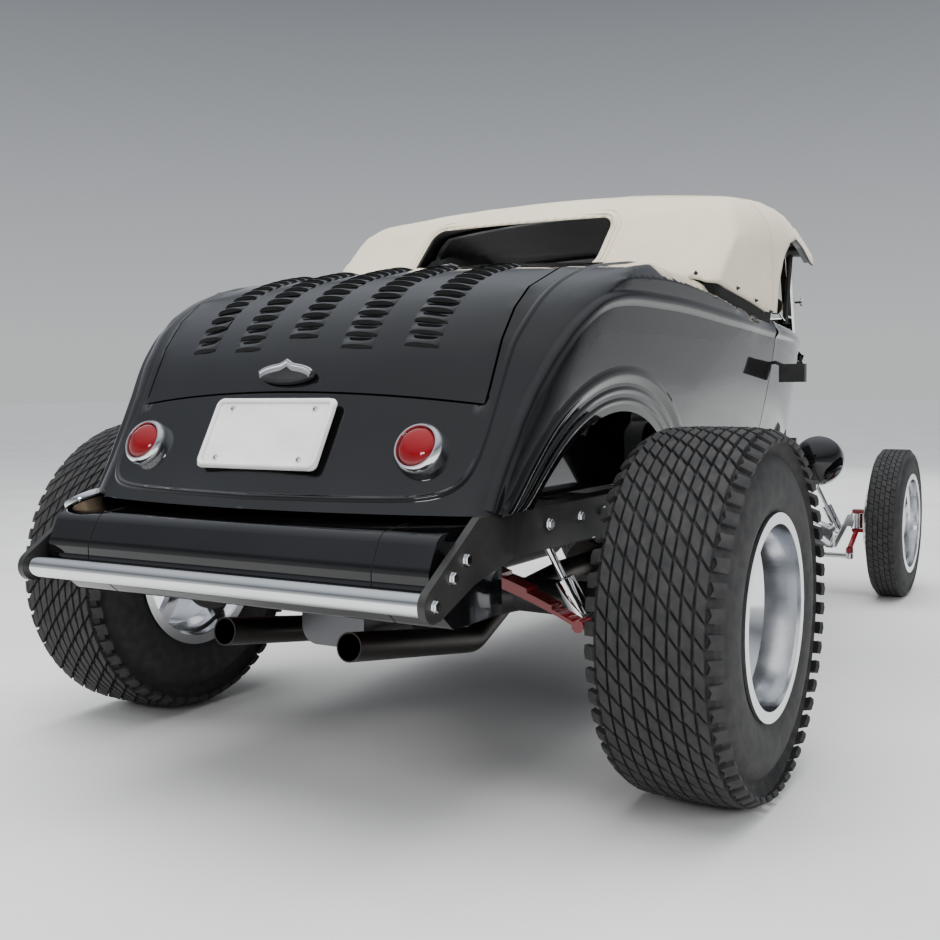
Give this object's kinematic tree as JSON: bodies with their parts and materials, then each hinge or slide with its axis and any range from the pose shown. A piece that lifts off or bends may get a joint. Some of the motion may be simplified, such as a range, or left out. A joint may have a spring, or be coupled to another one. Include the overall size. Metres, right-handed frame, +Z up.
{
  "type": "street rod roadster",
  "caption": "Fenderless street rod roadster with a cloth top, wide rear tyres, exposed dropped front axle, opening doors, hood halves and deck lid.",
  "frame": {"origin": "on the floor under the middle of the whole car", "axes": "+Y towards the tail, +X to the car's left, +Z up"},
  "size_m": [1.89, 3.7344, 1.477],
  "materials": {
    "body_paint": "deep gloss black",
    "frame_paint": "satin black",
    "red_paint": "gloss dark red",
    "chrome": "mirror",
    "polished": "polished",
    "bronze": "knurled and dulled",
    "radiator": "matt black core",
    "engine": "satin",
    "exhaust": "dark satin",
    "tyre": "matt rubber",
    "cloth": "woven canvas",
    "hide": "satin",
    "wheel_grip": "gloss",
    "glass": "clear",
    "red_lens": "ribbed translucent",
    "plate": "gloss, blank",
    "black_trim": "satin"
  },
  "bodies": {
    "chassis": {"body_tub": "body_paint", "cowl": "body_paint", "hood_sides": "body_paint", "grille_shell": "chrome", "grille_bars": "chrome", "radiator": "radiator", "frame_rails": "frame_paint", "spreader_bars": "chrome", "fuel_tank": "body_paint", "filler_cap": "bronze", "rear_axle": "frame_paint", "quick_change_cover": "polished", "rear_spring": "red_paint", "rear_shocks": "chrome", "front_axle": "chrome", "front_spring": "chrome", "radius_rods": "chrome", "front_shocks": "chrome", "headlamps": "body_paint", "headlamp_stands": "chrome", "tail_lamp_bezels": "chrome", "tail_lamp_lenses": "red_lens", "number_plate": "plate", "exhausts": "exhaust", "engine_block": "engine", "windscreen_posts": "chrome", "windscreen_frame": "chrome", "windscreen_glass": "glass", "soft_top": "cloth", "top_bows": "frame_paint", "seat_cushion": "hide", "seat_back": "hide", "floor_pan": "frame_paint", "firewall": "body_paint", "dashboard": "body_paint", "rear_bulkhead": "frame_paint", "steering_column": "chrome"},
    "door_left": {"door_left": "body_paint", "side_mirror_left": "black_trim"},
    "door_right": {"door_right": "body_paint", "side_mirror_right": "black_trim"},
    "deck_lid": {"deck_lid": "body_paint", "lid_handle": "chrome"},
    "hood_left": {"hood_top_left": "body_paint"},
    "hood_right": {"hood_top_right": "body_paint"},
    "rear_wheel_left": {"rear_wheel_left": "polished", "rear_tyre_left": "tyre"},
    "rear_wheel_right": {"rear_wheel_right": "polished", "rear_tyre_right": "tyre"},
    "knuckle_left": {"spindle_left": "red_paint"},
    "knuckle_right": {"spindle_right": "red_paint"},
    "front_wheel_left": {"front_wheel_left": "polished", "front_tyre_left": "tyre", "brake_drum_left": "polished"},
    "front_wheel_right": {"front_wheel_right": "polished", "front_tyre_right": "tyre", "brake_drum_right": "polished"},
    "tie_rod": {"tie_rod": "chrome"},
    "steering_wheel": {"steering_wheel": "wheel_grip"}
  },
  "joints": [
    {"name": "door_left_hinge", "type": "hinge", "parent": "chassis", "child": "door_left", "pos_m": [0.564, -0.42775, 0.68], "axis": [-0.0655, 0, -0.9979], "range_deg": [0, 70]},
    {"name": "door_right_hinge", "type": "hinge", "parent": "chassis", "child": "door_right", "pos_m": [-0.564, -0.42775, 0.68], "axis": [-0.0655, 0, 0.9979], "range_deg": [0, 70]},
    {"name": "deck_lid_hinge", "type": "hinge", "parent": "chassis", "child": "deck_lid", "pos_m": [0, 0.79975, 1.197], "axis": [1, 0, 0], "range_deg": [0, 60]},
    {"name": "hood_left_hinge", "type": "hinge", "parent": "chassis", "child": "hood_left", "pos_m": [0, -0.69075, 1.071], "axis": [0, -0.9912, -0.1323], "range_deg": [0, 70]},
    {"name": "hood_right_hinge", "type": "hinge", "parent": "chassis", "child": "hood_right", "pos_m": [0, -0.69075, 1.071], "axis": [0, 0.9912, 0.1323], "range_deg": [0, 70]},
    {"name": "rear_left_spin", "type": "hinge", "parent": "chassis", "child": "rear_wheel_left", "pos_m": [0.81, 1.13225, 0.4015], "axis": [1, 0, 0], "continuous": true},
    {"name": "rear_right_spin", "type": "hinge", "parent": "chassis", "child": "rear_wheel_right", "pos_m": [-0.81, 1.13225, 0.4015], "axis": [1, 0, 0], "continuous": true},
    {"name": "steer_left", "type": "hinge", "parent": "chassis", "child": "knuckle_left", "pos_m": [0.535, -1.55975, 0.3075], "axis": [0, 0, 1], "range_deg": [-28, 28]},
    {"name": "steer_right", "type": "hinge", "parent": "chassis", "child": "knuckle_right", "pos_m": [-0.535, -1.55975, 0.3075], "axis": [0, 0, 1], "range_deg": [-28, 28]},
    {"name": "front_left_spin", "type": "hinge", "parent": "knuckle_left", "child": "front_wheel_left", "pos_m": [0.69, -1.55975, 0.3075], "axis": [1, 0, 0], "continuous": true},
    {"name": "front_right_spin", "type": "hinge", "parent": "knuckle_right", "child": "front_wheel_right", "pos_m": [-0.69, -1.55975, 0.3075], "axis": [1, 0, 0], "continuous": true},
    {"name": "tie_rod_pivot", "type": "hinge", "parent": "knuckle_left", "child": "tie_rod", "pos_m": [0.535, -1.42475, 0.172], "axis": [0, 0, 1], "range_deg": [-28, 28]},
    {"name": "steering_wheel_turn", "type": "hinge", "parent": "chassis", "child": "steering_wheel", "pos_m": [0.31, -0.16775, 0.985], "axis": [0, 0.8192, 0.5735], "range_deg": [-420, 420]}
  ],
  "couplings": [
    {"joint": "steer_right", "follows": "steer_left", "ratio": 1},
    {"joint": "tie_rod_pivot", "follows": "steer_left", "ratio": -1},
    {"joint": "steering_wheel_turn", "follows": "steer_left", "ratio": 15}
  ]
}
